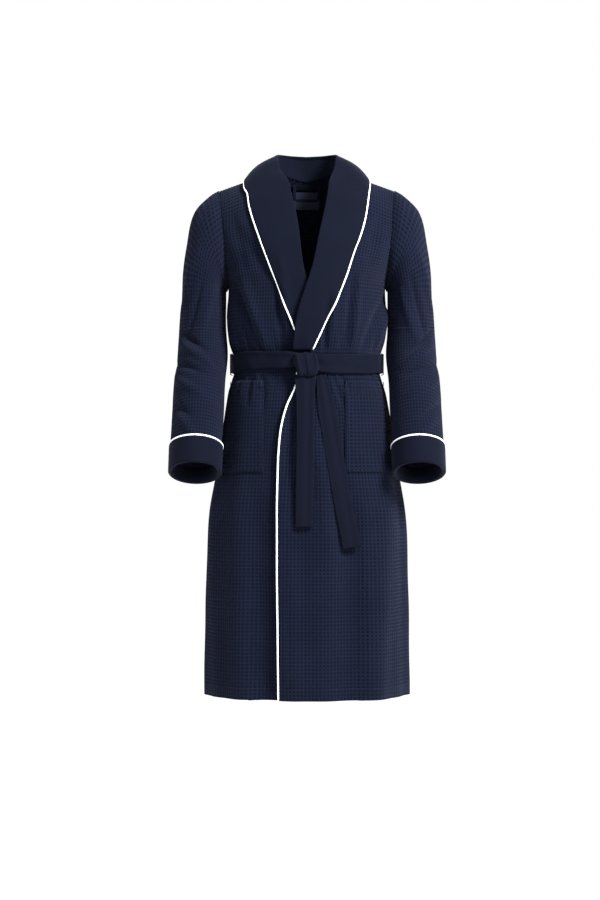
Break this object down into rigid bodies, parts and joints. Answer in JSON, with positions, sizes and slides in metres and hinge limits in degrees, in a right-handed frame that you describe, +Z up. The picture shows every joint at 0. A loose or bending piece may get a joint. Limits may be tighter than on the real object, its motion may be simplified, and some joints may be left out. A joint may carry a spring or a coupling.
{
  "type": "bathrobe",
  "caption": "Knee-length wrap bathrobe in waffle cloth with shawl collar, contrast piping, patch pockets, turned cuffs and a tied belt.",
  "frame": {"origin": "middle of the neck opening on the wearer's centre line, at the height where the shoulders meet the neck", "axes": "+Z up along the wearer, -Y out of the robe's front, +X towards the wearer's left arm"},
  "size_m": [0.5926, 0.3201, 1.1839],
  "materials": {
    "waffle_cloth": "navy waffle-weave cotton, matt",
    "smooth_cloth": "navy fine ribbed cotton, matt",
    "belt_cloth": "navy double-sewn ribbed cotton, matt",
    "piping": "white satin-weave piping",
    "thread": "navy polyester thread",
    "label": "blank navy woven tape"
  },
  "bodies": {
    "robe": {"back_panel": "waffle_cloth", "left_front_panel": "waffle_cloth", "right_front_panel": "waffle_cloth", "left_facing": "smooth_cloth", "right_facing": "smooth_cloth", "left_collar": "smooth_cloth", "right_collar": "smooth_cloth", "left_under_collar": "smooth_cloth", "right_under_collar": "smooth_cloth", "left_collar_piping": "piping", "right_collar_piping": "piping", "left_front_piping": "piping", "right_front_piping": "piping", "left_pocket": "waffle_cloth", "right_pocket": "waffle_cloth", "pocket_bar_tacks": "thread", "belt_waistband": "belt_cloth", "belt_knot": "belt_cloth", "left_belt_loop": "belt_cloth", "right_belt_loop": "belt_cloth", "neck_tape": "belt_cloth", "neck_label": "label", "care_label": "label"},
    "left_upper_arm": {"left_upper_sleeve": "waffle_cloth"},
    "right_upper_arm": {"right_upper_sleeve": "waffle_cloth"},
    "left_forearm": {"left_lower_sleeve": "waffle_cloth", "left_cuff": "smooth_cloth", "left_cuff_piping": "piping"},
    "right_forearm": {"right_lower_sleeve": "waffle_cloth", "right_cuff": "smooth_cloth", "right_cuff_piping": "piping"},
    "front_corner": {"left_front_corner": "waffle_cloth", "corner_facing": "smooth_cloth", "corner_piping": "piping"},
    "front_tail": {"belt_tail_front": "belt_cloth"},
    "side_tail": {"belt_tail_side": "belt_cloth"},
    "hanging_loop": {"hanging_loop": "belt_cloth"}
  },
  "joints": [
    {"name": "left_sleeve_raise", "type": "hinge", "parent": "robe", "child": "left_upper_arm", "pos_m": [0.1965, 0.008, -0.018], "axis": [0, -1, 0], "range_deg": [0, 55]},
    {"name": "right_sleeve_raise", "type": "hinge", "parent": "robe", "child": "right_upper_arm", "pos_m": [-0.1965, 0.008, -0.018], "axis": [0, 1, 0], "range_deg": [0, 55]},
    {"name": "left_elbow_bend", "type": "hinge", "parent": "left_upper_arm", "child": "left_forearm", "pos_m": [0.2275, -0.0925, -0.331], "axis": [-1, 0, 0], "range_deg": [0, 70]},
    {"name": "right_elbow_bend", "type": "hinge", "parent": "right_upper_arm", "child": "right_forearm", "pos_m": [-0.2275, -0.0925, -0.331], "axis": [-1, 0, 0], "range_deg": [0, 70]},
    {"name": "front_corner_open", "type": "hinge", "parent": "robe", "child": "front_corner", "pos_m": [0.03416, -0.15808, -0.913], "axis": [-0.4255, -0.0285, 0.9045], "range_deg": [0, 55]},
    {"name": "front_tail_swing", "type": "hinge", "parent": "robe", "child": "front_tail", "pos_m": [-0.004, -0.14883, -0.433], "axis": [-1, 0, 0], "range_deg": [0, 75]},
    {"name": "side_tail_swing", "type": "hinge", "parent": "robe", "child": "side_tail", "pos_m": [0.029, -0.14741, -0.435], "axis": [-1, 0, 0], "range_deg": [0, 75]},
    {"name": "hanging_loop_swing", "type": "hinge", "parent": "robe", "child": "hanging_loop", "pos_m": [0, 0.06871, -0.002], "axis": [-1, 0, 0], "range_deg": [0, 110]}
  ]
}
